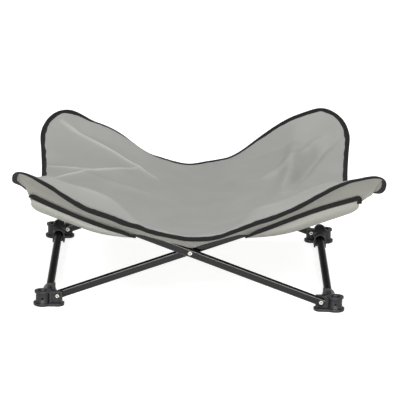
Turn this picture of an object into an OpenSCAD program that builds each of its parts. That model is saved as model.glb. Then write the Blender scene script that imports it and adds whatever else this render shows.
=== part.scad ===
// Folding raised pet cot: two scissor frames, two ground rails and a four-lobed sling.
// Origin on the ground under the middle of the cot, X to the right, Y to the back, Z up.

/* [Frame] */
// Distance between the left and right foot pivots
foot_span = 508; // [460:1:560]
// Distance between the front and back scissor planes
frame_depth = 500; // [440:1:560]
// Height of the foot pivots above the ground
pivot_z = 19; // [17:0.5:22]
// Height of the scissor crossings above the ground
cross_z = 112; // [100:1:125]
// Length of a scissor tube from its foot pivot to its tip
tube_len = 591; // [560:1:620]
// Width of a scissor tube, seen from the front
tube_w = 17; // [14:0.5:18]
// Thickness of a scissor tube, front to back
tube_t = 9.5; // [8:0.5:11]
// Wall of the scissor tubes
tube_wall = 1.2; // [0.8:0.1:2]
// Wall of the plastic cap on a tube tip
cap_wall = 1.5; // [1:0.1:2.5]
// Length of tube that a tip cap covers
cap_cover = 18; // [10:1:30]
// Thickness of the cap's closed end
cap_end = 3; // [2:0.5:5]
// Clearance between a cap and its tube
cap_fit = 0.1; // [0.05:0.05:0.3]

/* [Rivets] */
// Diameter of the rivet shanks
rivet_d = 6; // [4:0.5:7]
// Diameter of the rivet heads
head_d = 10; // [9:0.5:12]
// Height of the rivet heads
head_t = 2.2; // [1.5:0.1:3]
// Diameter of the spacer between crossing tubes
spacer_d = 14; // [11:0.5:16]
// Radial clearance of a rivet in its hole
run_gap = 0.05; // [0.02:0.01:0.1]
// Clearance between faces that turn past each other
face_gap = 0.3; // [0.2:0.05:0.5]
// Gap under a rivet head
head_gap = 0.1; // [0.05:0.05:0.2]
// Share of a rivet head's diameter that is left at its top
head_top = 0.7; // [0.5:0.05:0.9]
// Diameter of the dimple in a rivet head
dimple_d = 3; // [2:0.5:4]
// Depth of that dimple
dimple_t = 1.2; // [0.5:0.1:1.4]

/* [Feet] */
// Thickness of the sole plate
sole_t = 6; // [4:0.5:8]
// Height of the stepped lower edge of the sole
sole_step = 1.5; // [1:0.1:2.5]
// Width of the sole round the collar's flange
sole_margin = 2; // [1:0.5:4]
// Width of the sole round the web
sole_toe = 4; // [2:0.5:6]
// Thickness of the web that a scissor tube is riveted to
web_t = 4; // [3:0.5:6]
// Radius of the web around the foot pivot
web_r = 10; // [8:0.5:12]
// Distance from the foot pivot out to the post collar
collar_out = 28; // [26:0.5:34]
// Outer diameter of the post collar
collar_od = 27; // [24:0.5:30]
// Bore of the post collar
collar_bore = 18; // [14:0.5:20]
// Height of the post collar
collar_h = 29; // [26:0.5:34]
// Diameter of the flange round the collar's mouth
flange_d = 32; // [30:0.5:35]
// Thickness of that flange
flange_t = 4; // [2:0.5:6]
// Diameter of the screw hole in the collar's wall
screw_d = 4.5; // [3:0.5:6]
// Height of the screw hole
screw_z = 15; // [12:0.5:18]
// Depth of the stiffening ribs beside the web
rib_d = 9; // [6:0.5:10]
// Thickness of those ribs
rib_t = 3; // [2:0.5:4]

/* [Rail sockets] */
// Outer diameter of a side rail
rail_d = 15.5; // [12:0.5:17]
// Wall of a side rail
rail_wall = 1.2; // [0.8:0.1:2]
// Distance from the foot pivot out to the rail's axis
rail_out = 17; // [15:0.5:20]
// Height of the rail's axis
rail_z = 17; // [16:0.5:20]
// Width of the rail socket
socket_w = 25; // [23:0.5:28]
// Distance from the web's middle to the socket
socket_in = 14; // [13.5:0.5:18]
// Length of the socket's closed part
socket_len = 22; // [20:0.5:30]
// Depth of the rail's seat
seat_depth = 18; // [12:0.5:19]
// Length of the fork ears that pass the rail
ear_len = 14; // [10:0.5:20]
// Side clearance between the rail and the ears
ear_gap = 1.5; // [0.5:0.1:2]
// Height of the ears above the ground
ear_lift = 1; // [0.5:0.5:3]
// Height of the closed part on the back feet
tall_h = 42; // [40:0.5:48]
// Length of its flat top, before the sloping face
tall_flat = 2; // [1:0.5:5]
// Height of the lug beside the rail on the front feet
lug_h = 38; // [32:0.5:42]
// Width of that lug
lug_w = 7; // [5:0.5:9]
// Diameter of the round recess on the back feet
recess_d = 16; // [10:0.5:17]
// Depth of that recess
recess_depth = 4.5; // [2:0.5:5]
// Diameter of the pin through ears and rail
pin_d = 5; // [4:0.5:6]

/* [Sling] */
// Thickness of the sling, with its backing and hems
cloth_t = 2.4; // [1.5:0.1:3]
// Clearance between the sling and what it lies on
cloth_gap = 0.35; // [0.3:0.05:0.6]
// Half width of the middle strip that crumples in the fold
strip_half = 75; // [70:1:90]
// Softening length of the fold line over the crossing
fold_soft = 63; // [55:1:80]
// Sag of the sling at the middle of the cot
sag_mid = 12; // [6:1:16]
// Further sag at the sides of the cot
sag_side = 54; // [40:1:64]
// Power by which the sag grows towards the sides
sag_power = 3; // [1.5:0.1:4]
// Distance that the middle of a side edge lies inside the tube tips
side_in = 1; // [0:0.5:15]
// Overhang of the front lobes past the tube tips, to the sides
front_lobe_out = 72; // [55:1:85]
// Overhang of the back lobes past the tube tips, to the sides
back_lobe_out = 24; // [10:1:40]
// Rise of the back edge for each millimetre past the back tubes
back_stand = 0.65; // [0:0.05:0.7]
// Distance past the tube tips at which that rise has faded out
stand_over = 30; // [20:1:90]
// Overhang of the front and back edges past the scissor planes, at the middle
end_over = 40; // [30:1:60]
// Overhang of the lobes past the scissor planes
lobe_over = 62; // [50:1:90]
// Radius of the round corner of a lobe
lobe_r = 60; // [50:1:95]

/* [Pockets] */
// Distance from the middle of the cot to a pocket's inner end
pocket_in = 104; // [95:1:140]
// Thickness of a pocket panel
pocket_t = 1.6; // [1:0.1:2.5]
// Least depth of a pocket below the tube's axis
pocket_low = 13; // [12:0.5:20]
// Further depth of a pocket at the middle of its length
pocket_belly = 16; // [8:0.5:24]
// Distance from the sling's edge in to the pocket's sewn top
pocket_inset = 10; // [6:0.5:16]

/* [Hidden] */
$fn = 64;
eps = 0.01;
half_span = foot_span / 2;
half_depth = frame_depth / 2;
tilt = atan((cross_z - pivot_z) / half_span);
slope = tan(tilt);
cross_s = half_span / cos(tilt);
lap = web_t / 2 + face_gap + tube_t / 2;
hollow_s = tube_w;
cap_w = tube_w + 2 * (cap_fit + cap_wall);
cap_t = tube_t + 2 * (cap_fit + cap_wall);
tip_x = tube_len * cos(tilt) - half_span;
sole_nose = web_r + sole_toe;
bridge_end = socket_in + socket_len;
low_h = rail_z + socket_w / 2;
slot_w = rail_d + 2 * ear_gap;
rail_end = half_depth - (bridge_end - seat_depth);
pin_y = half_depth - bridge_end - ear_len / 2;
seat_roll = atan(2 * (sag_mid + sag_side) / (half_depth - lap) * cos(tilt));
seat_round = (cap_t / 2 + cloth_gap) / cos(seat_roll);
seat_rise = cloth_t / 2 + ((cap_w - cap_t) / 2 + seat_round) / cos(tilt);
side_mid = tip_x - side_in;
fade_x = tip_x + stand_over;
end_mid = half_depth + end_over;
lobe_y = half_depth + lobe_over;
lobe_start = 1 - lobe_r / lobe_y;
half_cols = 13;
strip_cols = 8;
cloth_rows = 28;
pocket_cols = 12;
pocket_rows = 4;
plastic = [0.2, 0.2, 0.21];
gloss_black = [0.05, 0.05, 0.055];
nickel = [0.8, 0.8, 0.8];
cloth_grey = [0.62, 0.62, 0.6];

// A corner of the frame: children are drawn outwards from the foot pivot and mirrored into place.
module corner(sx, sy) {
    translate([sx * half_span, sy * half_depth, 0])
        mirror([sx < 0 ? 1 : 0, 0, 0]) mirror([0, sy < 0 ? 1 : 0, 0]) children();
}

// Rounded-side section of a flat tube, its width upright
module oval(w, t) {
    square([t, w - t], center = true);
    for (end = [-1, 1]) translate([0, end * (w - t) / 2]) circle(d = t);
}

// Length of flat bar along +X with one end rounded about the point at end_x
module flat_bar(from_x, to_x, end_x, w, t) {
    facing = end_x > (from_x + to_x) / 2 ? 1 : -1;
    intersection() {
        translate([from_x, 0, 0]) rotate([90, 0, 90]) linear_extrude(to_x - from_x) oval(w, t);
        union() {
            translate([end_x, 0, 0]) rotate([90, 0, 0]) cylinder(d = w, h = 2 * t, center = true);
            translate([facing > 0 ? from_x - eps : end_x, -t, -w])
                cube([facing > 0 ? end_x - from_x + eps : to_x - end_x + eps, 2 * t, 2 * w]);
        }
    }
}

// Scissor tube along +X from its foot pivot
module scissor_tube() {
    color(gloss_black) difference() {
        flat_bar(-tube_w / 2, tube_len, 0, tube_w, tube_t);
        translate([hollow_s, 0, 0]) rotate([90, 0, 90])
            linear_extrude(tube_len) oval(tube_w - 2 * tube_wall, tube_t - 2 * tube_wall);
        for (s = [0, cross_s]) translate([s, 0, 0]) rotate([90, 0, 0])
            cylinder(d = rivet_d + 2 * run_gap, h = 2 * tube_t, center = true);
    }
}

// Cap on the tip of a scissor tube
module tip_cap() {
    color(plastic) difference() {
        flat_bar(tube_len - cap_cover, tube_len + cap_end, tube_len + cap_end - cap_w / 2, cap_w, cap_t);
        translate([tube_len - cap_cover - eps, 0, 0]) rotate([90, 0, 90])
            linear_extrude(cap_cover + eps) oval(tube_w + 2 * cap_fit, tube_t + 2 * cap_fit);
    }
}

// Places a scissor piece: a from the right foot on the outside, b from the left foot on the inside
module scissor_place(which, sy) {
    out = which == "a" ? 1 : -1;
    translate([0, sy * (half_depth + out * lap), 0]) mirror([which == "a" ? 1 : 0, 0, 0])
        translate([-half_span, 0, pivot_z]) rotate([0, -tilt, 0]) children();
}

// Rivet along Y with a dimpled head beyond each of the two faces
module rivet(from_y, to_y) {
    color(nickel) {
        translate([0, from_y - head_gap, 0]) rotate([-90, 0, 0])
            cylinder(d = rivet_d, h = to_y - from_y + 2 * head_gap);
        for (end = [[from_y - head_gap, 90], [to_y + head_gap, -90]])
            translate([0, end[0], 0]) rotate([end[1], 0, 0]) difference() {
                cylinder(d1 = head_d, d2 = head_d * head_top, h = head_t);
                translate([0, 0, head_t - dimple_t]) cylinder(d = dimple_d, h = head_t);
            }
    }
}

// Rivet of one foot: side is 1 where the tube lies outside the web, -1 where it lies inside
module foot_rivet(side) {
    stack = web_t / 2 + face_gap + tube_t;
    translate([0, 0, pivot_z]) rivet(side > 0 ? -web_t / 2 : -stack, side > 0 ? stack : web_t / 2);
}

// Plan of the sole, drawn in by a margin
module sole_plan(inset) {
    translate([collar_out, 0]) circle(r = flange_d / 2 + sole_margin - inset);
    circle(r = sole_nose - inset);
    translate([0, inset - sole_nose]) square([collar_out, 2 * (sole_nose - inset)]);
    translate([rail_out - socket_w / 2 + inset, inset - bridge_end])
        square([socket_w - 2 * inset, bridge_end]);
}

// Upright arch profile standing on the ground
module arch(w, h) {
    translate([-w / 2, 0]) square([w, h - w / 2]);
    translate([0, h - w / 2]) circle(d = w);
}

// Closed part of a rail socket: low on the front feet, tall with a sloping face on the back feet
module socket_body(tall) {
    if (tall) intersection() {
        translate([rail_out, -socket_in, 0]) rotate([90, 0, 0]) linear_extrude(socket_len)
            arch(socket_w, tall_h);
        translate([rail_out - socket_w, 0, 0]) rotate([90, 0, 90]) linear_extrude(2 * socket_w)
            polygon([[-socket_in, 0], [-socket_in, tall_h], [-socket_in - tall_flat, tall_h],
                     [-bridge_end, low_h], [-bridge_end, 0]]);
    }
    else {
        translate([rail_out, -socket_in, 0]) rotate([90, 0, 0]) linear_extrude(socket_len)
            arch(socket_w, low_h);
        translate([rail_out - socket_w / 2, -socket_in - socket_len / 2, 0])
            cube([lug_w, socket_len / 2, lug_h]);
    }
}

// Moulded foot: side says which face of the web the tube lies on
module foot(side, tall) {
    face_run = socket_len - tall_flat;
    face_tilt = atan((tall_h - low_h) / face_run);
    color(plastic) difference() {
        union() {
            translate([0, 0, sole_step]) linear_extrude(sole_t - sole_step) sole_plan(0);
            linear_extrude(sole_step) sole_plan(sole_step);
            translate([collar_out, 0, 0]) cylinder(d = collar_od, h = collar_h);
            translate([collar_out, 0, collar_h - flange_t]) cylinder(d = flange_d, h = flange_t);
            // web around the pivot, up from the sole
            translate([0, 0, pivot_z]) rotate([90, 0, 0]) cylinder(r = web_r, h = web_t, center = true);
            translate([-web_r, -web_t / 2, sole_step]) cube([2 * web_r, web_t, pivot_z - sole_step]);
            translate([0, -web_t / 2, sole_step]) cube([collar_out, web_t, pivot_z + web_r - sole_step]);
            // roof, end rib and middle rib on the face away from the tube
            translate([-web_r, side > 0 ? -rib_d : 0, pivot_z + web_r - rib_t])
                cube([collar_out + web_r, rib_d, rib_t]);
            for (u = [-web_r, collar_out - collar_od / 2 - rib_t])
                translate([u, side > 0 ? -rib_d : 0, sole_step])
                    cube([rib_t, rib_d, pivot_z + web_r - rib_t / 2 - sole_step]);
            socket_body(tall);
            translate([rail_out, -bridge_end, 0]) rotate([90, 0, 0]) linear_extrude(ear_len) difference() {
                arch(socket_w, low_h);
                arch(slot_w, rail_z + slot_w / 2);
                translate([-socket_w, -eps]) square([2 * socket_w, ear_lift + eps]);
            }
        }
        translate([collar_out, 0, sole_t]) cylinder(d = collar_bore, h = collar_h);
        translate([collar_out, 0, screw_z]) rotate([-90, 0, 0]) cylinder(d = screw_d, h = flange_d);
        translate([0, 0, pivot_z]) rotate([90, 0, 0])
            cylinder(d = rivet_d + 2 * run_gap, h = 2 * web_t, center = true);
        translate([rail_out, -bridge_end + seat_depth, rail_z]) rotate([90, 0, 0])
            cylinder(d = rail_d + 2 * run_gap, h = seat_depth + ear_len / 2);
        translate([rail_out - socket_w, -bridge_end - ear_len / 2, rail_z]) rotate([0, 90, 0])
            cylinder(d = pin_d + 2 * run_gap, h = 2 * socket_w);
        if (tall) translate([rail_out, -socket_in - tall_flat - face_run / 2, (tall_h + low_h) / 2])
            rotate([face_tilt, 0, 0]) translate([0, 0, -recess_depth])
                cylinder(d = recess_d, h = tall_h);
    }
}

// Ground rail between a front and a back foot
module rail(sx) {
    x = sx * (half_span + rail_out);
    color(gloss_black) difference() {
        translate([x, rail_end, rail_z]) rotate([90, 0, 0]) cylinder(d = rail_d, h = 2 * rail_end);
        translate([x, rail_end + eps, rail_z]) rotate([90, 0, 0])
            cylinder(d = rail_d - 2 * rail_wall, h = 2 * rail_end + 2 * eps);
        for (sy = [-1, 1]) translate([x, sy * pin_y, rail_z]) rotate([0, 90, 0])
            cylinder(d = pin_d + 2 * run_gap, h = 2 * rail_d, center = true);
    }
}

// Pins through the ears and the rail at both ends of one rail
module rail_pins(sx) {
    reach = socket_w + 2 * head_gap;
    x = sx * (half_span + rail_out);
    color(gloss_black) for (sy = [-1, 1]) translate([x, sy * pin_y, rail_z]) rotate([0, 90, 0]) {
        cylinder(d = pin_d, h = reach, center = true);
        for (end = [0, 180]) rotate([end, 0, 0]) translate([0, 0, reach / 2])
            cylinder(d1 = head_d * head_top, d2 = head_d / 2, h = head_t / 2);
    }
}

function hypot(a, b) = sqrt(a * a + b * b);
function clamp(v) = max(-1, min(1, v));

// Height of a tube's axis above the ground, by distance from the middle
function axis_z(x) = cross_z + slope * abs(x);

// Line over the scissor, rounded above the crossing, that the sling lies on
function ridge_z(x) = axis_z(tip_x) + seat_rise + slope * (hypot(x, fold_soft) - hypot(tip_x, fold_soft));

// Middle of the tube that carries the sling: the outer tube on the left, the inner one on the right
function seat_y(x) = half_depth - lap * clamp(x / strip_half);

// Sag across the cot: a hanging curve between the tubes, straight on beyond them
function sag(x) = sag_mid + sag_side * pow(min(1, abs(x) / tip_x), sag_power);
function hang(r) = r < 1 ? 1 - r * r : 2 * (1 - r);
function sling_z(x, y) = ridge_z(x) - sag(x) * hang(abs(y) / seat_y(x)) + stand(x, max(0, y - seat_y(x)));

// Rise of the cloth that stands up behind the back tubes, none over the middle strip
function stand(x, past) =
    back_stand * past * sin(180 * max(0, clamp((abs(x) - strip_half) / (fade_x - strip_half))));

// Plan of the sling by shares of its half width and half length: edges that bow in between the lobes
function lobe_x(sy) = tip_x + (sy < 0 ? front_lobe_out : back_lobe_out);
function side_x(v, sy) = side_mid + (lobe_x(sy) - side_mid) * v * v;
function end_y(u) = end_mid + (lobe_y - end_mid) * u * u;

// Shares of the half width and half length, from 0 to 1, with the corner square turned into a quarter disc
function round_share(u, v) =
    let (a = max(0, (u - lobe_start) / (1 - lobe_start)), b = max(0, (v - lobe_start) / (1 - lobe_start)))
    a * b == 0 ? [u, v]
        : [lobe_start + (1 - lobe_start) * a * sqrt(1 - b * b / 2),
           lobe_start + (1 - lobe_start) * b * sqrt(1 - a * a / 2)];

// Share of the half length that the edge reaches at a share of the half width
function edge_share(u) =
    let (a = max(0, (u - lobe_start) / (1 - lobe_start)))
    lobe_start + (1 - lobe_start) * sqrt(max(0, 1 - a * a));

// Spacing that crowds the grid towards the edges
function crowd(t) = sin(90 * t);

// Points of the sling, by column share from left to right and row from -1 in front to 1 at the back
function half_point(sx, share, row) =
    let (v = abs(crowd(row)),
         inner = strip_half / side_x(v, row),
         u = inner + (1 - inner) * crowd(sx > 0 ? share : 1 - share),
         uv = round_share(u, v),
         x = sx * uv[0] * side_x(uv[1], row),
         y = sign(row) * uv[1] * end_y(uv[0]))
    [x, y, sling_z(x, y)];
function strip_point(share, row) =
    let (x = (strip_half - cloth_gap) * (2 * share - 1),
         y = crowd(row) * end_y(x / side_x(abs(crowd(row)), row)))
    [x, y, sling_z(x, y)];

// Closed sheet over a grid of points, with its thickness along the given direction
module sheet(grid, thick) {
    cols = len(grid);
    rows = len(grid[0]);
    count = cols * rows;
    half = thick / 2;
    points = [for (face = [1, -1]) for (column = grid) for (p = column) p + face * half];
    function at(i, j, face) = face * count + i * rows + j;
    skin = [for (i = [0 : cols - 2]) for (j = [0 : rows - 2]) each [
        [at(i, j, 0), at(i, j + 1, 0), at(i + 1, j + 1, 0)],
        [at(i, j, 0), at(i + 1, j + 1, 0), at(i + 1, j, 0)],
        [at(i, j, 1), at(i + 1, j + 1, 1), at(i, j + 1, 1)],
        [at(i, j, 1), at(i + 1, j, 1), at(i + 1, j + 1, 1)]]];
    ends = [for (i = [0 : cols - 2]) each [
        [at(i, 0, 0), at(i + 1, 0, 0), at(i + 1, 0, 1)], [at(i, 0, 0), at(i + 1, 0, 1), at(i, 0, 1)],
        [at(i, rows - 1, 0), at(i + 1, rows - 1, 1), at(i + 1, rows - 1, 0)],
        [at(i, rows - 1, 0), at(i, rows - 1, 1), at(i + 1, rows - 1, 1)]]];
    sides = [for (j = [0 : rows - 2]) each [
        [at(0, j, 0), at(0, j + 1, 1), at(0, j + 1, 0)], [at(0, j, 0), at(0, j, 1), at(0, j + 1, 1)],
        [at(cols - 1, j, 0), at(cols - 1, j + 1, 0), at(cols - 1, j + 1, 1)],
        [at(cols - 1, j, 0), at(cols - 1, j + 1, 1), at(cols - 1, j, 1)]]];
    polyhedron(points, concat(skin, ends, sides));
}

module sling_half(sx) {
    color(cloth_grey) sheet([for (i = [0 : half_cols]) [for (j = [0 : cloth_rows])
        half_point(sx, i / half_cols, 2 * j / cloth_rows - 1)]], [0, 0, cloth_t]);
}

module sling_strip() {
    color(cloth_grey) sheet([for (i = [0 : strip_cols]) [for (j = [0 : cloth_rows])
        strip_point(i / strip_cols, 2 * j / cloth_rows - 1)]], [0, 0, cloth_t]);
}

// Pocket panel at one corner, sewn under the sling's edge and hanging in front of the tube's tip
module pocket(sx, sy) {
    face_y = half_depth - sx * lap + cap_t / 2 + cloth_gap + pocket_t / 2;
    top_gap = cloth_t / 2 + cloth_gap + pocket_t / 2;
    grid = [for (i = [0 : pocket_cols]) [for (j = [0 : pocket_rows])
        let (share = i / pocket_cols,
             along = sx > 0 ? share : 1 - share,
             x = pocket_in + (tip_x - pocket_in) * along,
             u = x / lobe_x(sy),
             top_y = end_y(u) * edge_share(u) - pocket_inset,
             top = [sx * x, top_y, sling_z(sx * x, sy * top_y) - top_gap],
             low = [sx * x, face_y, axis_z(x) - pocket_low - pocket_belly * sin(180 * along)],
             down = 1 - j / pocket_rows)
        top + (low - top) * down]];
    color(cloth_grey) mirror([0, sy < 0 ? 1 : 0, 0]) sheet(grid, [0, -pocket_t, 0]);
}

// Rivets through both tubes at the two crossings
module crossing_rivets() {
    reach = lap + tube_t / 2;
    for (sy = [-1, 1]) translate([0, sy * half_depth, cross_z]) rivet(-reach, reach);
}

// Spacers between the tubes at the two crossings
module crossing_spacers() {
    for (sy = [-1, 1]) translate([0, sy * half_depth, cross_z]) rotate([90, 0, 0])
        color(plastic) difference() {
            cylinder(d = spacer_d, h = web_t, center = true);
            cylinder(d = rivet_d + 2 * run_gap, h = 2 * web_t, center = true);
        }
}

corner(-1, -1) foot(-1, false);  // foot_front_left
corner(1, -1) foot(1, false);  // foot_front_right
corner(-1, 1) foot(-1, true);  // foot_back_left
corner(1, 1) foot(1, true);  // foot_back_right
rail(-1);  // rail_left
rail(1);  // rail_right
rail_pins(-1);  // rail_pins_left
rail_pins(1);  // rail_pins_right
scissor_place("a", -1) scissor_tube();  // tube_a_front
scissor_place("a", 1) scissor_tube();  // tube_a_back
scissor_place("b", -1) scissor_tube();  // tube_b_front
scissor_place("b", 1) scissor_tube();  // tube_b_back
scissor_place("a", -1) tip_cap();  // tip_cap_a_front
scissor_place("a", 1) tip_cap();  // tip_cap_a_back
scissor_place("b", -1) tip_cap();  // tip_cap_b_front
scissor_place("b", 1) tip_cap();  // tip_cap_b_back
for (sy = [-1, 1]) corner(-1, sy) foot_rivet(-1);  // foot_rivets_left
for (sy = [-1, 1]) corner(1, sy) foot_rivet(1);  // foot_rivets_right
crossing_rivets();
crossing_spacers();
sling_half(-1);  // sling_left
sling_half(1);  // sling_right
sling_strip();  // sling_centre
pocket(-1, -1);  // pocket_front_left
pocket(1, -1);  // pocket_front_right
pocket(-1, 1);  // pocket_back_left
pocket(1, 1);  // pocket_back_right
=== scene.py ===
import math

import bmesh
import bpy
from mathutils import Matrix, Vector, kdtree, noise


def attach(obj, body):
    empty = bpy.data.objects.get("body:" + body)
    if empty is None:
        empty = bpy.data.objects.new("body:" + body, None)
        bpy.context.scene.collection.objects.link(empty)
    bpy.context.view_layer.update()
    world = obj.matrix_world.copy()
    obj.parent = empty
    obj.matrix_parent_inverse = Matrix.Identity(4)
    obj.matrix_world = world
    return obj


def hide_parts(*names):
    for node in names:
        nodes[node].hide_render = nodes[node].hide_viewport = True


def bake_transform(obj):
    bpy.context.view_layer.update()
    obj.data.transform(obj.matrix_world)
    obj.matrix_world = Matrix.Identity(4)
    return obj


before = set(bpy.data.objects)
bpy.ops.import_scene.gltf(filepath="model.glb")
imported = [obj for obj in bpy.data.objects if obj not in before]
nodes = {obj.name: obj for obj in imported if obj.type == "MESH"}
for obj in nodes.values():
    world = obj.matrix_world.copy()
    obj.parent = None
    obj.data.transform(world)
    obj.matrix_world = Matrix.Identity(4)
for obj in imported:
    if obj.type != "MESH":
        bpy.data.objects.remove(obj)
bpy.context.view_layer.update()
scene = bpy.context.scene
print("frame loaded:", len(nodes), "nodes")

mm = 0.001
mixA, mixB, mixOut = 6, 7, 2  # the colour sockets of a Mix node, which share their names with others

# the CAD's own sizes, in metres: the scissor, the seat on the tube caps, and the plan of the sling
# the lobe corners alone are rounder here than in the CAD
cot = {"halfSpan": 0.254, "halfDepth": 0.250, "pivotZ": 0.019, "crossZ": 0.112, "tubeLen": 0.591,
       "tubeW": 0.017, "tubeT": 0.0095, "capWall": 0.0016, "webT": 0.004, "faceGap": 0.0003,
       "clothT": 0.0024, "clothGap": 0.00035}
plan = {"stripHalf": 0.075, "foldSoft": 0.063, "sagMid": 0.012, "sagSide": 0.054, "sagPower": 3,
        "sideIn": 0.001, "frontLobeOut": 0.072, "backLobeOut": 0.024, "backStand": 0.65, "standPower": 1.4,
        "standOver": 0.030, "endOver": 0.040, "lobeOver": 0.062, "frontCorner": (0.060, 0.088),
        "backCorner": (0.076, 0.110)}


# sRGB hex to the linear colour that a shader socket takes
def hexColour(text):
    parts = [int(text[i:i + 2], 16) / 255 for i in (1, 3, 5)]
    return [p / 12.92 if p <= 0.04045 else ((p + 0.055) / 1.055) ** 2.4 for p in parts] + [1.0]


# one node with its settings, socket values and links from other nodes
def addNode(tree, kind, values=None, links=None, **settings):
    made = tree.nodes.new(kind)
    for name, value in settings.items():
        setattr(made, name, value)
    for socket, value in (values or {}).items():
        made.inputs[socket].default_value = value
    for socket, (source, output) in (links or {}).items():
        tree.links.new(source.outputs[output], made.inputs[socket])
    return made


# a material with its own shader and the constants on the shader's sockets
def newMaterial(name, constants):
    made = bpy.data.materials.new(name)
    made.use_nodes = True
    shader = made.node_tree.nodes["Principled BSDF"]
    for socket, value in constants.items():
        shader.inputs[socket].default_value = value
    return made, made.node_tree, shader


def linkShader(tree, shader, links):
    for socket, (source, output) in links.items():
        tree.links.new(source.outputs[output], shader.inputs[socket])


# texture scales from real sizes: a noise cell and a wave's full period, which is pi / 10 at a scale of 1
def noiseScale(sizeMm):
    return 1 / (sizeMm * mm)


def waveScale(periodMm):
    return math.pi / 10 / (periodMm * mm)


# woven polyester canvas: matt, a little sheen at grazing angles, threads that just show, uneven dye, and a
# painted highlight that lightens pressed folds and the lip's crest; its uncoated reverse, on the undersides,
# is lighter and warmer than its face
# thread pitch is about 0.6 mm in life and is drawn at 1.9 mm, because anything finer is lost in the render
clothLook = {"face": ("#a0a09d", "#91918e"), "reverse": ("#b9b9b1", "#aeaea6"), "highlightTone": "#cfcfcb",
             "roughness": 0.9, "sheen": 0.1, "specular": 0.25, "threadMm": 1.9, "threadWander": 0.3,
             "threadTone": 0.35, "dyeMm": 70, "slubMm": 9, "slubHeight": 0.6, "reliefMm": 0.25,
             "relief": 0.35}


def canvasCloth(name, side):
    look = clothLook
    base, dark = look[side]
    made, tree, shader = newMaterial(name, {"Roughness": look["roughness"], "Sheen Weight": look["sheen"],
                                            "Specular IOR Level": look["specular"]})
    flat = addNode(tree, "ShaderNodeUVMap", uv_map="clothRun")
    thread = {"Scale": waveScale(look["threadMm"]), "Distortion": look["threadWander"], "Detail": 1.0}
    warp = addNode(tree, "ShaderNodeTexWave", thread, {"Vector": (flat, "UV")}, bands_direction="X")
    weft = addNode(tree, "ShaderNodeTexWave", thread, {"Vector": (flat, "UV")}, bands_direction="Y")
    weave = addNode(tree, "ShaderNodeMath", None, {0: (warp, "Fac"), 1: (weft, "Fac")}, operation="MULTIPLY")
    dye = addNode(tree, "ShaderNodeTexNoise", {"Scale": noiseScale(look["dyeMm"]), "Detail": 4.0},
                  {"Vector": (flat, "UV")})
    slub = addNode(tree, "ShaderNodeTexNoise", {"Scale": noiseScale(look["slubMm"]), "Detail": 6.0},
                   {"Vector": (flat, "UV")})
    tone = addNode(tree, "ShaderNodeMath", {1: look["threadTone"]}, {0: (weave, "Value"), 2: (dye, "Fac")},
                   operation="MULTIPLY_ADD")
    dyed = addNode(tree, "ShaderNodeMix", {mixA: hexColour(dark), mixB: hexColour(base)},
                   {0: (tone, "Value")}, data_type="RGBA")
    # painted highlight: folds and the lip's crest mix towards the paler highlight colour
    fold = addNode(tree, "ShaderNodeAttribute", attribute_name="paintedFoldHighlight")
    colour = addNode(tree, "ShaderNodeMix", {mixB: hexColour(look["highlightTone"])},
                     {0: (fold, "Fac"), mixA: (dyed, mixOut)}, data_type="RGBA")
    height = addNode(tree, "ShaderNodeMath", {1: look["slubHeight"]}, {0: (slub, "Fac"), 2: (weave, "Value")},
                     operation="MULTIPLY_ADD")
    bump = addNode(tree, "ShaderNodeBump", {"Strength": look["relief"], "Distance": look["reliefMm"] * mm},
                   {"Height": (height, "Value")})
    linkShader(tree, shader, {"Base Color": (colour, mixOut), "Normal": (bump, "Normal")})
    return made


# woven polypropylene binding tape: ribbed across its run, near-black, with a paler row of stitches by its
# inner edge
tapeLook = {"base": "#1b1b1b", "dark": "#141414", "thread": "#302f2e", "roughness": 0.8, "sheen": 0.05,
            "specular": 0.2, "ribMm": 1.8, "ribWander": 0.2, "stitchMm": 5.0, "stitchGap": 0.35,
            "stitchRow": 0.22, "stitchHalf": 0.06, "reliefMm": 0.3, "relief": 0.5}


def bindingTape():
    look = tapeLook
    made, tree, shader = newMaterial("woven_binding_tape", {"Roughness": look["roughness"],
                                                            "Sheen Weight": look["sheen"],
                                                            "Specular IOR Level": look["specular"]})
    run = addNode(tree, "ShaderNodeUVMap", uv_map="tapeRun")
    split = addNode(tree, "ShaderNodeSeparateXYZ", None, {0: (run, "UV")})
    rib = addNode(tree, "ShaderNodeTexWave", {"Scale": waveScale(look["ribMm"]),
                                              "Distortion": look["ribWander"]},
                  {"Vector": (run, "UV")}, bands_direction="X")
    row = addNode(tree, "ShaderNodeMath", {1: look["stitchRow"], 2: look["stitchHalf"]}, {0: (split, "Y")},
                  operation="COMPARE")
    beat = addNode(tree, "ShaderNodeTexWave", {"Scale": waveScale(look["stitchMm"])}, {"Vector": (run, "UV")},
                   bands_direction="X")
    dash = addNode(tree, "ShaderNodeMath", {1: look["stitchGap"]}, {0: (beat, "Fac")},
                   operation="GREATER_THAN")
    stitch = addNode(tree, "ShaderNodeMath", None, {0: (row, "Value"), 1: (dash, "Value")},
                     operation="MULTIPLY")
    ground = addNode(tree, "ShaderNodeMix", {mixA: hexColour(look["dark"]), mixB: hexColour(look["base"])},
                     {0: (rib, "Fac")}, data_type="RGBA")
    colour = addNode(tree, "ShaderNodeMix", {mixB: hexColour(look["thread"])},
                     {0: (stitch, "Value"), mixA: (ground, mixOut)}, data_type="RGBA")
    height = addNode(tree, "ShaderNodeMath", None, {0: (rib, "Fac"), 1: (stitch, "Value")}, operation="ADD")
    bump = addNode(tree, "ShaderNodeBump", {"Strength": look["relief"], "Distance": look["reliefMm"] * mm},
                   {"Height": (height, "Value")})
    linkShader(tree, shader, {"Base Color": (colour, mixOut), "Normal": (bump, "Normal")})
    return made


# powder-coated steel tube: deep black, with a slight orange peel and faint rub marks, glossy on the scissor
# tubes and almost without gloss on the rails, which stay black along their whole length
coatLook = {"base": "#0b0b0c", "worn": "#121213", "wearMm": 26, "roughness": (0.13, 0.18), "grainMm": 3.0,
            "grainDepthMm": 0.2, "grain": 0.12}
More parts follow.
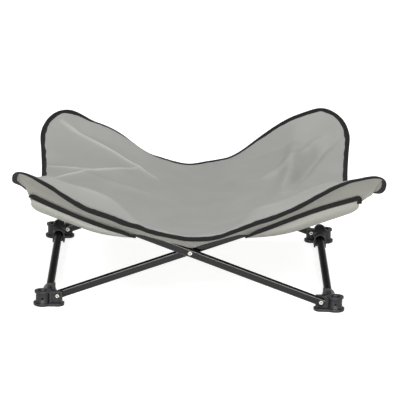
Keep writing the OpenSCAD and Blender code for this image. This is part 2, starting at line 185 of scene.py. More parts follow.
# moulded glass-filled nylon: charcoal, satin, with a fine spark-eroded grain and paler handling wear
nylonLook = {"base": "#27272a", "worn": "#37373a", "wearMm": 14, "roughness": (0.4, 0.55), "grainMm": 1.2,
             "grainDepthMm": 0.15, "grain": 0.2}
glossLevel = {"scissor": 0.34, "rail": 0.003, "nylon": 0.28}


# a hard finish with a grain in its relief, and wear that changes both its colour and its gloss
def hardFinish(name, look, specular):
    made, tree, shader = newMaterial(name, {"Specular IOR Level": specular})
    place = addNode(tree, "ShaderNodeTexCoord")
    grain = addNode(tree, "ShaderNodeTexNoise", {"Scale": noiseScale(look["grainMm"]), "Detail": 2.0},
                    {"Vector": (place, "Object")})
    wear = addNode(tree, "ShaderNodeTexNoise", {"Scale": noiseScale(look["wearMm"]), "Detail": 5.0},
                   {"Vector": (place, "Object")})
    colour = addNode(tree, "ShaderNodeMix", {mixA: hexColour(look["base"]), mixB: hexColour(look["worn"])},
                     {0: (wear, "Fac")}, data_type="RGBA")
    smooth, rough = look["roughness"]
    gloss = addNode(tree, "ShaderNodeMapRange", {"To Min": smooth, "To Max": rough}, {"Value": (wear, "Fac")})
    bump = addNode(tree, "ShaderNodeBump", {"Strength": look["grain"], "Distance": look["grainDepthMm"] * mm},
                   {"Height": (grain, "Fac")})
    linkShader(tree, shader, {"Base Color": (colour, mixOut), "Roughness": (gloss, "Result"),
                              "Normal": (bump, "Normal")})
    return made


# nickel-plated steel: bright and slightly warm, with fine handling scuffs, and painted shade in the dimple of
# each rivet head; the heads of one node share an axis, given as its distances across and up
nickelLook = {"base": "#b9b7b0", "dimpleShade": "#1e1d1c", "scuffMm": 4, "roughness": (0.3, 0.45), "dimpleMm": 1.5}


def nickelPlate(name, across, up):
    look = nickelLook
    made, tree, shader = newMaterial(name, {"Metallic": 1.0})
    place = addNode(tree, "ShaderNodeTexCoord")
    split = addNode(tree, "ShaderNodeSeparateXYZ", None, {0: (place, "Object")})
    side = addNode(tree, "ShaderNodeMath", None, {0: (split, "X")}, operation="ABSOLUTE")
    offX = addNode(tree, "ShaderNodeMath", {1: across}, {0: (side, "Value")}, operation="SUBTRACT")
    offZ = addNode(tree, "ShaderNodeMath", {1: up}, {0: (split, "Z")}, operation="SUBTRACT")
    off = addNode(tree, "ShaderNodeCombineXYZ", None, {"X": (offX, "Value"), "Z": (offZ, "Value")})
    away = addNode(tree, "ShaderNodeVectorMath", None, {0: (off, "Vector")}, operation="LENGTH")
    # painted shade: the dimple at each head's centre is drawn dark
    inside = addNode(tree, "ShaderNodeMath", {1: look["dimpleMm"] * mm}, {0: (away, "Value")},
                     operation="LESS_THAN")
    colour = addNode(tree, "ShaderNodeMix", {mixA: hexColour(look["base"]), mixB: hexColour(look["dimpleShade"])},
                     {0: (inside, "Value")}, data_type="RGBA")
    scuff = addNode(tree, "ShaderNodeTexNoise", {"Scale": noiseScale(look["scuffMm"]), "Detail": 6.0},
                    {"Vector": (place, "Object")})
    smooth, rough = look["roughness"]
    gloss = addNode(tree, "ShaderNodeMapRange", {"To Min": smooth, "To Max": rough},
                    {"Value": (scuff, "Fac")})
    linkShader(tree, shader, {"Base Color": (colour, mixOut), "Roughness": (gloss, "Result")})
    return made


canvas = canvasCloth("woven_canvas_face", "face")
canvasBack = canvasCloth("woven_canvas_reverse", "reverse")
tape = bindingTape()
scissorCoat = hardFinish("gloss_black_powder_coat", coatLook, glossLevel["scissor"])
railCoat = hardFinish("satin_black_powder_coat", coatLook, glossLevel["rail"])
nylon = hardFinish("moulded_black_nylon", nylonLook, glossLevel["nylon"])
footNickel = nickelPlate("nickel_plated_foot_rivet", cot["halfSpan"], cot["pivotZ"])
crossNickel = nickelPlate("nickel_plated_crossing_rivet", 0.0, cot["crossZ"])
print("materials made")

# the frame's pieces keep their shapes and get a finish, with the edges (mm) rounded as moulded or rolled
frameFinish = {"foot": (nylon, 0.6), "tip_cap": (nylon, 0.6), "crossing_spacers": (nylon, 0.3),
               "rail_pins": (railCoat, 0.4), "rail_": (railCoat, 0.0), "tube": (scissorCoat, 0.0),
               "foot_rivets": (footNickel, 0.4), "crossing_rivets": (crossNickel, 0.4)}
edgeFinish = {"weldMm": 0.01, "segments": 2, "overDegrees": 40}


def finishFrame():
    for name, node in nodes.items():
        key = max((k for k in frameFinish if name.startswith(k)), key=len, default=None)
        if key is None:
            continue
        finish, edgeMm = frameFinish[key]
        node.data.materials.clear()
        node.data.materials.append(finish)
        if edgeMm:
            weld = node.modifiers.new("weld", "WELD")
            weld.merge_threshold = edgeFinish["weldMm"] * mm
            rounded = node.modifiers.new("edge", "BEVEL")
            rounded.width = edgeMm * mm
            rounded.segments = edgeFinish["segments"]
            rounded.limit_method = "ANGLE"
            rounded.angle_limit = math.radians(edgeFinish["overDegrees"])
            rounded.harden_normals = False


finishFrame()
print("frame finished")

# the scissor's tilt, the tubes' tips and the plan's main lines, from the CAD's sizes
tilt = math.atan((cot["crossZ"] - cot["pivotZ"]) / cot["halfSpan"])
slope = math.tan(tilt)
lap = cot["webT"] / 2 + cot["faceGap"] + cot["tubeT"] / 2
capW = cot["tubeW"] + 2 * cot["capWall"]
capT = cot["tubeT"] + 2 * cot["capWall"]
tipX = cot["tubeLen"] * math.cos(tilt) - cot["halfSpan"]
seatRoll = math.atan(2 * (plan["sagMid"] + plan["sagSide"]) / (cot["halfDepth"] - lap) * math.cos(tilt))
seatRound = (capT / 2 + cot["clothGap"]) / math.cos(seatRoll)
seatRise = cot["clothT"] / 2 + ((capW - capT) / 2 + seatRound) / math.cos(tilt)
sideMid = tipX - plan["sideIn"]
fadeX = tipX + plan["standOver"]
endMid = cot["halfDepth"] + plan["endOver"]
lobeY = cot["halfDepth"] + plan["lobeOver"]


def clamp01(value):
    return max(0.0, min(1.0, value))


# -1 on the left, 1 on the right, and even in between over the strip that bends when the cot folds
def sideShare(x):
    return max(-1, min(1, x / plan["stripHalf"]))


def smoothStep(low, high, value):
    t = clamp01((value - low) / (high - low))
    return t * t * (3 - 2 * t)


# smooth noise from -1 to 1; each use has a layer of its own
def layerNoise(x, y, layer, cell):
    return noise.noise(Vector((x, y, layer)) / cell)


# height of the scissor tubes' axes, and the sling's seat and shape over them, as in the CAD
def axisZ(x):
    return cot["crossZ"] + slope * abs(x)


def ridgeZ(x):
    soft = plan["foldSoft"]
    return axisZ(tipX) + seatRise + slope * (math.hypot(x, soft) - math.hypot(tipX, soft))


def seatY(x):
    return cot["halfDepth"] - lap * sideShare(x)


def slingZ(x, y):
    r = abs(y) / seatY(x)
    sag = plan["sagMid"] + plan["sagSide"] * min(1, abs(x) / tipX) ** plan["sagPower"]
    outward = clamp01((abs(x) - plan["stripHalf"]) / (fadeX - plan["stripHalf"]))
    stand = plan["backStand"] * max(0, y - seatY(x)) * math.sin(math.pi * outward) ** plan["standPower"]
    return ridgeZ(x) - sag * (1 - r * r if r < 1 else 2 * (1 - r)) + stand


def lobeX(v):
    return tipX + (plan["frontLobeOut"] if v < 0 else plan["backLobeOut"])


# the cloth isn't cut or hung quite evenly: its right side lies further out, most of all in front, and its
# front left lobe further in
hang = {"rightOut": 0.015, "frontRightOut": 0.021, "frontLeftIn": 0.005, "power": 3}


# plan point for shares from -1 to 1 of the half width and half length, with round lobe corners
def planPoint(u, v):
    su, sv = abs(u), abs(v)
    across, deep = (1 - size / lobeY for size in plan["frontCorner" if v < 0 else "backCorner"])
    a, b = max(0.0, (su - across) / (1 - across)), max(0.0, (sv - deep) / (1 - deep))
    if a * b > 0:
        su = across + (1 - across) * a * math.sqrt(1 - b * b / 2)
        sv = deep + (1 - deep) * b * math.sqrt(1 - a * a / 2)
    x = math.copysign(su * (sideMid + (lobeX(v) - sideMid) * sv * sv), u)
    lobe = (su * sv) ** hang["power"] if v < 0 else 0
    rightward = hang["rightOut"] * su ** hang["power"] + hang["frontRightOut"] * lobe
    x += rightward if u > 0 else hang["frontLeftIn"] * lobe
    return x, math.copysign(sv * (endMid + (lobeY - endMid) * su * su), v)


# the sling's edge in plan, as a closed loop of points
def edgeLoop(steps):
    loop = []
    for i in range(4 * steps):
        side, step = divmod(i, steps)
        t = 2 * step / steps - 1
        loop.append(Vector(planPoint(*((t, -1), (1, t), (-t, 1), (-1, -t))[side])).to_3d())
    return loop


def treeOf(points):
    tree = kdtree.KDTree(len(points))
    for i, point in enumerate(points):
        tree.insert(point, i)
    tree.balance()
    return tree


stepsPerSide = 400
slingEdge = edgeLoop(stepsPerSide)
edgeTree = treeOf(slingEdge)


# how far in from the sling's edge a place lies
def inFromEdge(x, y):
    return edgeTree.find((x, y, 0))[2]


# creases in the cloth, in plan: points in metres, height and half width in mm, and whether it is pressed
creases = (
    (((-0.270, 0.275), (-0.225, 0.250), (-0.155, 0.215), (-0.105, 0.185), (-0.070, 0.150)), 8, 12, True),
    (((-0.295, 0.110), (-0.205, 0.090), (-0.165, 0.120), (-0.105, 0.185)), 8, 14, True),
    (((-0.275, 0.040), (-0.205, 0.090)), 4, 10, True),
    (((-0.210, 0.075), (-0.155, 0.040), (-0.085, 0.040)), 6, 14, False),
    (((0.305, 0.265), (0.255, 0.225), (0.215, 0.160), (0.150, 0.110)), 11, 12, False),
    (((0.315, 0.240), (0.265, 0.195), (0.245, 0.155), (0.195, 0.010)), -13, 11, False),
    (((0.215, 0.265), (0.205, 0.155), (0.185, -0.015)), 15, 16, False),
    (((0.290, -0.225), (0.235, -0.130), (0.205, -0.020)), 6, 13, False),
    (((-0.290, -0.230), (-0.225, -0.150), (-0.150, -0.110)), 6, 13, False),
)
# how a crease falls off to its sides and towards its ends, and how a pressed one gets a painted highlight
# along its ridge
creaseForm = {"halfWidths": 3, "pressed": 1.4, "endShare": 0.08, "endPower": 0.6, "highlightShare": 0.6,
              "highlightHalfMm": 3.2}


# the nearest place on a crease's line: how far away it is, and how far along the line
def nearestOn(points, x, y):
    best, where = 1.0, 0.0
    for i in range(len(points) - 1):
        ax, ay = points[i]
        bx, by = points[i + 1]
        lengthSq = (bx - ax) ** 2 + (by - ay) ** 2
        t = clamp01(((x - ax) * (bx - ax) + (y - ay) * (by - ay)) / lengthSq)
        away = math.hypot(x - ax - t * (bx - ax), y - ay - t * (by - ay))
        if away < best:
            best, where = away, (i + t) / (len(points) - 1)
    return best, where


# height of the creases at a place, and how strong the painted highlight along a pressed fold is there
def creaseHeight(x, y):
    form = creaseForm
    total, highlightShare = 0.0, 0.0
    for points, heightMm, halfMm, sharp in creases:
        away, where = nearestOn(points, x, y)
        reach = away / (halfMm * mm)
        if reach < form["halfWidths"]:
            shape = math.exp(-form["pressed"] * reach) if sharp else math.exp(-reach * reach)
            inside = form["endShare"] + (1 - 2 * form["endShare"]) * where
            length = math.sin(math.pi * inside) ** form["endPower"]
            total += heightMm * mm * shape * length
            # a pressed crease gets a painted highlight along its ridge
            if sharp:
                highlightShare = max(highlightShare, form["highlightShare"] * length * math.exp(-(away / (form["highlightHalfMm"] * mm)) ** 2))
    return total, highlightShare


# the front margin rolls over outside the tubes, so that its crest stands above the bound edge
# the crest gets a painted highlight, as a pressed fold does
lip = {"heightMm": 24, "outMm": 12, "innerMm": 52, "outerMm": {-1: 22, 1: 30}, "rightFrom": (0.060, 0.135),
       "leftFrom": (0.085, 0.165), "endFrom": (0.262, 0.325), "uneven": 0.35, "unevenCell": 0.075,
       "unevenLayer": 2.3, "highlightShare": 0.12, "highlightMm": 9}


def lipHeight(x, y):
    if y > 0:
        return 0.0
    inner = lip["rightFrom"] if x > 0 else lip["leftFrom"]
    share = smoothStep(*inner, abs(x)) * (1 - smoothStep(*lip["endFrom"], abs(x)))
    off = abs(y) - seatY(x) - lip["outMm"] * mm
    width = (lip["innerMm"] if off < 0 else lip["outerMm"][1 if x > 0 else -1]) * mm
    uneven = 1 + lip["uneven"] * layerNoise(x, 0, lip["unevenLayer"], lip["unevenCell"])
    return lip["heightMm"] * mm * share * uneven * math.exp(-(off / width) ** 2)


# painted highlight along the lip's crest
def lipHighlight(x, y):
    off = (abs(y) - seatY(x)) / mm - lip["outMm"]
    return lip["highlightShare"] * lipHeight(x, y) / (lip["heightMm"] * mm) * math.exp(-(off / lip["highlightMm"]) ** 2)


# how far the bound edge turns down, in front all along and at the back on the left: mm, and the places (m)
# between which each starts and ends
droop = {"frontMm": 11, "frontMidMm": 9, "frontFrom": (0.06, 0.14), "frontLeftMm": 9,
         "frontLeftFrom": (0.09, 0.14), "frontLeftTo": (0.19, 0.26), "backLeftMm": 9,
         "backLeftFrom": (0.06, 0.11), "backLeftTo": (0.20, 0.25), "overMm": 16, "overPower": 1.5,
         "endsFrom": (0.20, 0.26)}


def droopMm(x, y, inward):
    near = clamp01(1 - inward / (droop["overMm"] * mm)) ** droop["overPower"]
    backLeft = smoothStep(*droop["backLeftFrom"], -x) * (1 - smoothStep(*droop["backLeftTo"], -x))
    frontLeft = smoothStep(*droop["frontLeftFrom"], -x) * (1 - smoothStep(*droop["frontLeftTo"], -x))
    outer = smoothStep(*droop["frontFrom"], abs(x))
    front = droop["frontMidMm"] + (droop["frontMm"] - droop["frontMidMm"]) * outer
    down = front + droop["frontLeftMm"] * frontLeft if y < 0 else droop["backLeftMm"] * backLeft
    return down * near * smoothStep(*droop["endsFrom"], abs(y))


# places where the hems pull the cloth up or let it hang: plan point and reach in metres, height in mm
pulls = (((-0.310, -0.300), 0.060, 14), ((-0.340, -0.290), 0.035, 7), ((0.275, -0.295), 0.070, 9),
         ((0.365, -0.235), 0.045, -18), ((-0.150, 0.288), 0.065, 15), ((-0.205, -0.256), 0.038, 6),
         ((-0.170, -0.260), 0.038, 8), ((-0.130, -0.262), 0.038, 8))


def pullHeight(x, y):
    return sum(heightMm * mm * math.exp(-((x - px) ** 2 + (y - py) ** 2) / reach ** 2)
               for (px, py), reach, heightMm in pulls)


# the cloth's slow unevenness, the ripple of its edge, and how near a tip (m) it is pulled smooth
slackness = {"unevenMm": 5.0, "unevenCell": 0.075, "unevenLayer": 0.37, "edgeMm": 2.0, "edgeCell": 0.04,
             "edgeLayer": 5.1, "edgeOver": 0.012, "calmNear": 0.06}


def clothZ(x, y):
    inward = inFromEdge(x, y)
    uneven = 0.5 + 0.5 * layerNoise(x, y, slackness["unevenLayer"], slackness["unevenCell"])
    ripple = layerNoise(x, y, slackness["edgeLayer"], slackness["edgeCell"]) * slackness["edgeMm"]
    ripple *= math.exp(-inward / slackness["edgeOver"])
    calm = clamp01(math.hypot(abs(x) - tipX, abs(y) - seatY(x)) / slackness["calmNear"])
    slack = creaseHeight(x, y)[0] + pullHeight(x, y) + uneven * slackness["unevenMm"] * mm
    return slingZ(x, y) + lipHeight(x, y) + slack * calm + (ripple - droopMm(x, y, inward)) * mm


slingCut = {"cells": 180, "hemInMm": 3, "thickMm": 1.6}


# the sling's surface as a grid that stops inside the fold of the edge tape
def slingGrid():
    cells = slingCut["cells"]
    reach = 1 - slingCut["hemInMm"] * mm / sideMid
    grid = bmesh.new()
    bmesh.ops.create_grid(grid, x_segments=cells, y_segments=cells, size=reach)
    run = grid.loops.layers.uv.new("clothRun")
    fold = grid.verts.layers.float.new("paintedFoldHighlight")
    flatPlace, spots = {}, {}
    for vert in grid.verts:
        steps = tuple(round((value / reach + 1) / 2 * cells) for value in (vert.co.x, vert.co.y))
        x, y = planPoint(vert.co.x, vert.co.y)
        flatPlace[vert] = (x, y)
        vert.co = Vector((x, y, clothZ(x, y)))
        # painted highlight on pressed folds and the lip's crest, kept on each vertex
        vert[fold] = max(creaseHeight(x, y)[1], lipHighlight(x, y))
        spots[steps] = vert.co.copy()
    for face in grid.faces:
        for corner in face.loops:
            corner[run].uv = flatPlace[corner.vert]
    return grid, spots


def meshPiece(name, grid, finish):
    data = bpy.data.meshes.new(name)
    grid.to_mesh(data)
    grid.free()
    made = bpy.data.objects.new(name, data)
    scene.collection.objects.link(made)
    data.materials.append(finish)
    for face in data.polygons:
        face.use_smooth = True
    return made


# gives a surface its thickness and rounding, and keeps the result as the piece's own mesh
def thicken(piece, thickMm, levels):
    shell = piece.modifiers.new("thickness", "SOLIDIFY")
    shell.thickness = thickMm * mm
    shell.offset = 0
    shell.material_offset = len(piece.data.materials) - 1
    if levels:
        rounding = piece.modifiers.new("rounding", "SUBSURF")
        rounding.levels = levels
        rounding.render_levels = levels
    graph = bpy.context.evaluated_depsgraph_get()
    finished = bpy.data.meshes.new_from_object(piece.evaluated_get(graph))
    flatMesh = piece.data
    piece.modifiers.clear()
    piece.data = finished
    bpy.data.meshes.remove(flatMesh)


def areaOf(grid):
    return sum(face.calc_area() for face in grid.faces)


def bodyOfSide(sx):
    return "tubes_a" if sx < 0 else "tubes_b"


def bendOverCrossing(piece):
    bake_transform(piece)


# the cut's flat size: the longest developed row and column of the grid
def flatSize(spots, cells):
    rows = [sum((spots[i + 1, j] - spots[i, j]).length for i in range(cells)) for j in range(cells + 1)]
    columns = [sum((spots[i, j + 1] - spots[i, j]).length for j in range(cells)) for i in range(cells + 1)]
    return max(rows), max(columns)


def slingCloth():
    grid, spots = slingGrid()
    area = areaOf(grid)
    piece = meshPiece("sling_cloth", grid, canvas)
    piece.data.materials.append(canvasBack)
    thicken(piece, slingCut["thickMm"], 0)
    return piece, flatSize(spots, slingCut["cells"]), area


# tape folded over the whole edge: its width is measured along the cloth, and is a little wavy where the
# stitching draws it in
edgeTape = {"widthMm": 10.5, "rows": 4, "thickMm": 3.0, "waveMm": 2.2, "waveCell": 0.020, "waveLayer": 1.7,
            "stepMm": 0.5, "everyPoint": 2, "mergeMm": 0.1}


# the tape's rows at one place on the edge, from a walk inward over the cloth
def tapeRows(start, way):
    wave = layerNoise(start.x, start.y, edgeTape["waveLayer"], edgeTape["waveCell"]) * edgeTape["waveMm"]
    pitch = (edgeTape["widthMm"] + wave) * mm / edgeTape["rows"]
    here = Vector((start.x, start.y, clothZ(start.x, start.y)))
    spots, walked, step = [here], 0.0, 0
    while len(spots) <= edgeTape["rows"]:
        step += 1
        at = start + way * step * edgeTape["stepMm"] * mm
        ahead = Vector((at.x, at.y, clothZ(at.x, at.y)))
        walked += (ahead - here).length
        here = ahead
        if walked >= pitch * len(spots):
            spots.append(here)
    return spots


def slingTape():
    loop = slingEdge[::edgeTape["everyPoint"]]
    count, rows = len(loop), edgeTape["rows"]
    runs, spots = [0.0], []
    for i in range(count):
        runs.append(runs[-1] + (loop[(i + 1) % count] - loop[i]).length)
        ahead = (loop[(i + 1) % count] - loop[i - 1]).normalized()
        spots.append(tapeRows(loop[i], Vector((-ahead.y, ahead.x, 0))))
    grid = bmesh.new()
    bmesh.ops.create_grid(grid, x_segments=count, y_segments=rows, size=1)
    run = grid.loops.layers.uv.new("tapeRun")
    place = {}
    for vert in grid.verts:
        i, row = round((vert.co.x + 1) / 2 * count), round((vert.co.y + 1) / 2 * rows)
        place[vert] = (runs[i], 1 - row / rows)
        vert.co = spots[i % count][row]
    for face in grid.faces:
        for corner in face.loops:
            corner[run].uv = place[corner.vert]
    bmesh.ops.remove_doubles(grid, verts=grid.verts[:], dist=edgeTape["mergeMm"] * mm)
    piece = meshPiece("sling_edge_tape", grid, tape)
    thicken(piece, edgeTape["thickMm"], 1)
    return piece


cloth, clothFlat, clothArea = slingCloth()
clothTape = slingTape()
bendOverCrossing(cloth)
bendOverCrossing(clothTape)
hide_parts("sling_left", "sling_right", "sling_centre")
print("sling made, cut from", [round(v, 3) for v in clothFlat], "m, area", round(clothArea, 3))

# the facing that is bound into the front and back edges and goes down to the tubes, behind the pouches
# a reach is its outer end as a share of the sling's half width, and how far out (m) its low edge ends
# low edges are in mm above the tube's axis: at the crossing, near it, further out and past the tip
facing = {"columns": 150, "rows": 8, "insetMm": 6, "reach": (0.935, 0.304), "frontRightReach": (0.965, 0.345),
          "midLowMm": 9, "nearLowMm": 2, "nearTo": 0.085, "outLowMm": -18, "outFrom": (0.085, 0.150),
          "tipLowMm": -8, "tipFrom": (0.310, 0.345), "turnIn": 2.0, "thickMm": 1.4, "rippleMm": 1.5,
          "rippleCell": 0.045, "rippleRow": 3.3, "flatDeep": 0.075, "tries": 6}
pocket = {"in": 0.104, "thickMm": 1.6}  # the CAD's pocket panel


# how far out the pocket panel's middle lies
def faceY(side):
    return cot["halfDepth"] - side * lap + capT / 2 + cot["clothGap"] + pocket["thickMm"] * mm / 2


def facingReach(sy, along):
    return facing["frontRightReach"] if along > 0 > sy else facing["reach"]


def facingDropMm(lowX):
    away = abs(lowX)
    drop = facing["midLowMm"] + (facing["nearLowMm"] - facing["midLowMm"]) * clamp01(away / facing["nearTo"])
    drop += (facing["outLowMm"] - drop) * smoothStep(*facing["outFrom"], away)
    return drop + (facing["tipLowMm"] - drop) * smoothStep(*facing["tipFrom"], away)


def facingPoint(sy, along, down):
    v = sy * (1 - facing["insetMm"] * mm / endMid)
    share, lowEnd = facingReach(sy, along)
    x, y = planPoint(along * share, v)
    top = Vector((x, abs(y), clothZ(x, y) - slingCut["thickMm"] * mm))
    lowX = along * lowEnd
    low = Vector((lowX, faceY(sideShare(lowX)), axisZ(lowX) + facingDropMm(lowX) * mm))
    ripple = layerNoise(lowX, sy * facing["rippleRow"], 0, facing["rippleCell"]) * facing["rippleMm"] * mm
    here = top + (low - top) * down
    here.y = low.y + (top.y - low.y) * (1 - down) ** facing["turnIn"] + ripple * math.sin(math.pi * down)
    return here


# how far out the facing lies at a place along the tube and a height
def facingY(sy, x, z):
    lowEnd = facingReach(sy, x)[1]
    along, down = x / lowEnd, 0.5
    for _ in range(facing["tries"]):
        here = facingPoint(sy, along, down)
        topZ, lowZ = facingPoint(sy, along, 0).z, facingPoint(sy, along, 1).z
        down = clamp01((topZ - z) / (topZ - lowZ))
        along = max(-1, min(1, along + (x - here.x) / lowEnd))
    return facingPoint(sy, along, down).y


# a panel that hangs upright: its grid points come from placeOf, and its weave runs level and plumb
def uprightGrid(columns, rows, placeOf, turned):
    grid = bmesh.new()
    bmesh.ops.create_grid(grid, x_segments=columns, y_segments=rows, size=1)
    run = grid.loops.layers.uv.new("clothRun")
    for vert in grid.verts:
        vert.co = placeOf(vert.co.x, (1 - vert.co.y) / 2)
    for face in grid.faces:
        for corner in face.loops:
            corner[run].uv = (corner.vert.co.x, -corner.vert.co.z)
    if turned:
        bmesh.ops.reverse_faces(grid, faces=grid.faces[:])
    return grid, areaOf(grid)


def facingPanel(sy, end):
    def placeOf(along, down):
        here = facingPoint(sy, along, down)
        return Vector((here.x, sy * here.y, here.z))

    grid, area = uprightGrid(facing["columns"], facing["rows"], placeOf, sy > 0)
    piece = meshPiece("edge_facing_" + end, grid, canvasBack)
    thicken(piece, facing["thickMm"], 1)
    bendOverCrossing(piece)
    return piece, area


# the pouch that takes a tube's tip: a panel with a full belly, bound along its mouth and round its outer end
# its mouth and its low edge are in mm above and below the tube's axis
pouch = {"columns": 40, "rows": 10, "overTip": 0.004, "frontRightOver": 0.016, "mouthMm": (-7, -2),
         "mouthSagMm": {-1: 6, 1: -6}, "innerLowMm": 8, "bellyMm": 21, "bellyAt": 0.5, "endRound": 0.10,
         "endHeight": 0.75, "proudMm": 2.6, "tuckMm": 1.5, "bulgeMm": 7, "bulgePower": 0.5, "thickMm": 1.6,
         "flatDeep": 0.04}
# its tape starts narrow at the inner end and hooks down round the outer one, by a share of the panel's depth
mouthTape = {"widthMm": 10, "narrow": 0.4, "fullAt": 0.15, "outMm": 2.5, "thickMm": 3.4, "endSteps": 10,
             "hook": {-1: 0.15, 1: 0.6}}


def pouchLength(sx, sy):
    return tipX - pocket["in"] + pouch["overTip"] + (pouch["frontRightOver"] if sx > 0 > sy else 0)


def pouchPoint(sx, sy, along, down):
    x = pocket["in"] + pouchLength(sx, sy) * along
    inner, outer = pouch["mouthMm"]
    sag = pouch["mouthSagMm"][sx] * math.sin(math.pi * along)
    mouthZ = axisZ(x) + (inner + (outer - inner) * along - sag) * mm
    low = pouch["innerLowMm"] + pouch["bellyMm"] * math.sin(math.pi / 2 * min(1, along / pouch["bellyAt"]))
    short = max(0, 1 - (1 - along) / pouch["endRound"])
    deep = down * (pouch["endHeight"] + (1 - pouch["endHeight"]) * math.sqrt(1 - short * short))
    z = mouthZ + (axisZ(x) - low * mm - mouthZ) * deep
    bulge = math.sin(math.pi * down) * math.sin(math.pi * along) ** pouch["bulgePower"]
    mouthY = facingY(sy, sx * x, mouthZ) + pouch["proudMm"] * mm
    lowY = faceY(sx) + pouch["tuckMm"] * mm
    y = mouthY + (lowY - mouthY) * down * down + pouch["bulgeMm"] * mm * bulge
    return Vector((sx * x, sy * y, z))


def pouchPanel(sx, sy, label):
    def placeOf(along, down):
        return pouchPoint(sx, sy, (along + 1) / 2, down)

    grid, area = uprightGrid(pouch["columns"], pouch["rows"], placeOf, sx * sy > 0)
    piece = meshPiece("pouch_" + label, grid, canvasBack)
    thicken(piece, pouch["thickMm"], 1)
    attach(piece, bodyOfSide(sx))
    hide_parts("pocket_" + label)
    return piece, area


# tape folded over the pouch's mouth, and down round its outer end
def pouchTape(sx, sy, label):
    mouthSteps, endSteps = pouch["columns"], mouthTape["endSteps"]
    route = [(i / mouthSteps, 0.0) for i in range(mouthSteps + 1)]
    route += [(1.0, (i + 1) / endSteps * mouthTape["hook"][sx]) for i in range(endSteps)]
    middle = [pouchPoint(sx, sy, along, down) for along, down in route]
    last = len(middle) - 1
    runs = [0.0]
    for i in range(last):
        runs.append(runs[-1] + (middle[i + 1] - middle[i]).length)
    grid = bmesh.new()
    bmesh.ops.create_grid(grid, x_segments=last, y_segments=2, size=1)
    run = grid.loops.layers.uv.new("tapeRun")
    place = {}
    for vert in grid.verts:
        i, across = round((vert.co.x + 1) / 2 * last), vert.co.y
        ahead = (middle[min(i + 1, last)] - middle[max(i - 1, 0)]).normalized()
        side = Vector((ahead.z, 0, -ahead.x)).normalized()
        widen = smoothStep(0, mouthTape["fullAt"], route[i][0])
        width = mouthTape["widthMm"] * mm * (mouthTape["narrow"] + (1 - mouthTape["narrow"]) * widen)
        place[vert] = (runs[i], (1 - across) / 2)
        vert.co = middle[i] + side * across * width / 2
        vert.co.y += sy * mouthTape["outMm"] * mm
    for face in grid.faces:
        for corner in face.loops:
            corner[run].uv = place[corner.vert]
    bmesh.ops.recalc_face_normals(grid, faces=grid.faces[:])
    piece = meshPiece("pouch_tape_" + label, grid, tape)
    thicken(piece, mouthTape["thickMm"], 2)
    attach(piece, bodyOfSide(sx))
    return piece


for sy, end in ((-1, "front"), (1, "back")):
    panel, panelArea = facingPanel(sy, end)
    for sx, side in ((-1, "left"), (1, "right")):
        label = end + "_" + side
        panel, panelArea = pouchPanel(sx, sy, label)
        panelTape = pouchTape(sx, sy, label)
print("pouches and edge facings made")

# pale floor that is seen as white, with the object's soft shadow left on it, under a sky that is white at the
# horizon and darker overhead, so that black tubes keep a dark upper side
# fill is the share of the sky's light that matt surfaces get
studio = {"floorHalf": 12.0, "floor": "#cfcfcd", "floorRough": 0.9, "floorSpecular": 0.1, "glow": 0.86,
          "white": (1, 1, 1, 1), "horizon": 1.0, "zenith": 0.2, "horizonTo": (0.05, 0.45), "fill": 0.6}


def makeFloor():
    grid = bmesh.new()
    bmesh.ops.create_grid(grid, x_segments=1, y_segments=1, size=studio["floorHalf"])
    data = bpy.data.meshes.new("floor")
    grid.to_mesh(data)
    grid.free()
    floor = bpy.data.objects.new("floor", data)
    scene.collection.objects.link(floor)
    made, tree, shader = newMaterial("pale_studio_floor", {
        "Base Color": hexColour(studio["floor"]), "Roughness": studio["floorRough"],
        "Specular IOR Level": studio["floorSpecular"], "Emission Color": studio["white"]})
    ray = addNode(tree, "ShaderNodeLightPath")
    reflected = addNode(tree, "ShaderNodeMath", None, {0: (ray, "Is Camera Ray"), 1: (ray, "Is Glossy Ray")},
                        operation="MAXIMUM")
    seen = addNode(tree, "ShaderNodeMath", None, {0: (reflected, "Value"), 1: (ray, "Is Transmission Ray")},
                   operation="MAXIMUM")
    glow = addNode(tree, "ShaderNodeMath", {1: studio["glow"]}, {0: (seen, "Value")}, operation="MULTIPLY")
    linkShader(tree, shader, {"Emission Strength": (glow, "Value")})
    data.materials.append(made)


def makeSky():
    world = bpy.data.worlds.new("studio_sky")
    world.use_nodes = True
    scene.world = world
    tree = world.node_tree
    sky = tree.nodes["Background"]
    sky.inputs["Color"].default_value = studio["white"]
    way = addNode(tree, "ShaderNodeTexCoord")
    rise = addNode(tree, "ShaderNodeSeparateXYZ", None, {0: (way, "Generated")})
    low, high = studio["horizonTo"]
    strength = addNode(tree, "ShaderNodeMapRange", {"From Min": low, "From Max": high,
                                                    "To Min": studio["horizon"], "To Max": studio["zenith"]},
                       {"Value": (rise, "Z")})
    ray = addNode(tree, "ShaderNodeLightPath")
    share = addNode(tree, "ShaderNodeMapRange", {"To Min": 1.0, "To Max": studio["fill"]},
                    {"Value": (ray, "Is Diffuse Ray")})
    light = addNode(tree, "ShaderNodeMath", None, {0: (strength, "Result"), 1: (share, "Result")},
                    operation="MULTIPLY")
    linkShader(tree, sky, {"Strength": (light, "Value")})


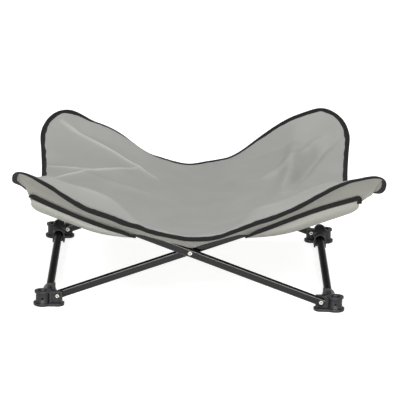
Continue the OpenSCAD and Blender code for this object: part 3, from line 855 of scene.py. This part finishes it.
# lamps: place and size in metres, watts, and whether matt surfaces and gloss see them
# the strip only draws the line of light along the tubes
lamps = {"key": ((0.9, -2.1, 2.0), (1.0, 1.0), 42, True, False),
         "cross": ((-1.6, -1.6, 2.0), (0.5, 0.5), 16, True, False),
         "top": ((0.2, 0.4, 2.6), (1.0, 1.0), 29, True, True),
         "side": ((2.3, -1.2, 1.1), (1.0, 1.0), 2, True, True),
         "low": ((-1.6, -2.7, 0.4), (1.5, 1.0), 13, True, False),
         "strip": ((0.0, -3.0, 0.6), (3.0, 0.5), 120, False, True)}
lampAim = (0, 0, 0.15)


def makeLamps():
    for name, (place, (width, height), power, onMatt, onGloss) in lamps.items():
        lamp = bpy.data.lights.new(name, "AREA")
        lamp.shape = "RECTANGLE"
        lamp.size = width
        lamp.size_y = height
        lamp.energy = power
        holder = bpy.data.objects.new(name, lamp)
        scene.collection.objects.link(holder)
        holder.visible_diffuse = onMatt
        holder.visible_glossy = onGloss
        holder.location = place
        holder.rotation_euler = (Vector(lampAim) - Vector(place)).to_track_quat("-Z", "Y").to_euler()


# long lens from the front, a little above, turned as the photograph is
shot = {"target": (0.01871, 0, 0.14977), "distance": 6.0, "elevation": 14.556, "yaw": 0.434, "roll": 1.262,
        "lens": 270.45, "sensor": 36, "clipEnd": 100}


def makeCamera():
    up, yaw, roll = (math.radians(shot[k]) for k in ("elevation", "yaw", "roll"))
    ahead = Vector((math.sin(yaw) * math.cos(up), math.cos(yaw) * math.cos(up), -math.sin(up)))
    level = Vector((math.cos(yaw), -math.sin(yaw), 0))
    upright = level.cross(ahead)
    right = level * math.cos(roll) + upright * math.sin(roll)
    top = upright * math.cos(roll) - level * math.sin(roll)
    lens = bpy.data.cameras.new("camera")
    lens.lens = shot["lens"]
    lens.sensor_width = shot["sensor"]
    lens.clip_end = shot["clipEnd"]
    holder = bpy.data.objects.new("camera", lens)
    scene.collection.objects.link(holder)
    turn = Matrix((right, top, -ahead)).transposed().to_4x4()
    holder.matrix_world = Matrix.Translation(Vector(shot["target"]) - ahead * shot["distance"]) @ turn
    scene.camera = holder


makeFloor()
makeSky()
makeLamps()
makeCamera()
scene.view_settings.view_transform = "Standard"
print("studio and camera made")
